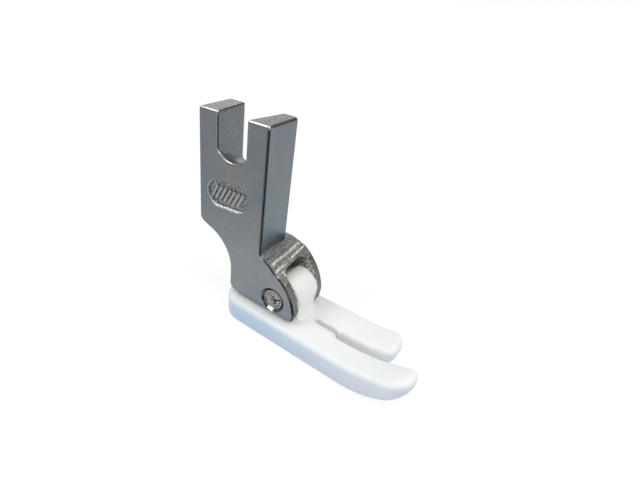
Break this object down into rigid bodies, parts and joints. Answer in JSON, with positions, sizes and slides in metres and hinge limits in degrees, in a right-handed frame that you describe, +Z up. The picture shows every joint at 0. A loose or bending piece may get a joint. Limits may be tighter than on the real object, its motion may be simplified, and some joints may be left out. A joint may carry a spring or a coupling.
{
  "type": "presser foot",
  "caption": "Hinged sewing machine presser foot: a slotted steel shank with a forked end holds a white low-friction sole with a needle slot and upturned toes of unequal length.",
  "frame": {"origin": "on the sole's flat bottom face, on the shank's centre plane, straight under the hinge axis", "axes": "+Z up along the shank, -Y towards the toes, +X towards the face that meets the presser bar"},
  "size_m": [0.0114, 0.0384, 0.0337],
  "materials": {
    "shank_steel": "satin plated steel",
    "pin_steel": "staked steel pin",
    "plunger_steel": "ground steel",
    "spring_steel": "drawn spring wire",
    "sole_plastic": "smooth white low-friction plastic"
  },
  "bodies": {
    "shank": {"shank": "shank_steel", "hinge_pin": "pin_steel", "spring_plunger": "plunger_steel", "return_spring": "spring_steel"},
    "sole": {"sole": "sole_plastic"}
  },
  "joints": [
    {"name": "sole_pitch", "type": "hinge", "parent": "shank", "child": "sole", "pos_m": [0, 0, 0.007], "axis": [-1, 0, 0], "range_deg": [-4, 8], "stiffness_Nm_per_rad": 0.04}
  ]
}
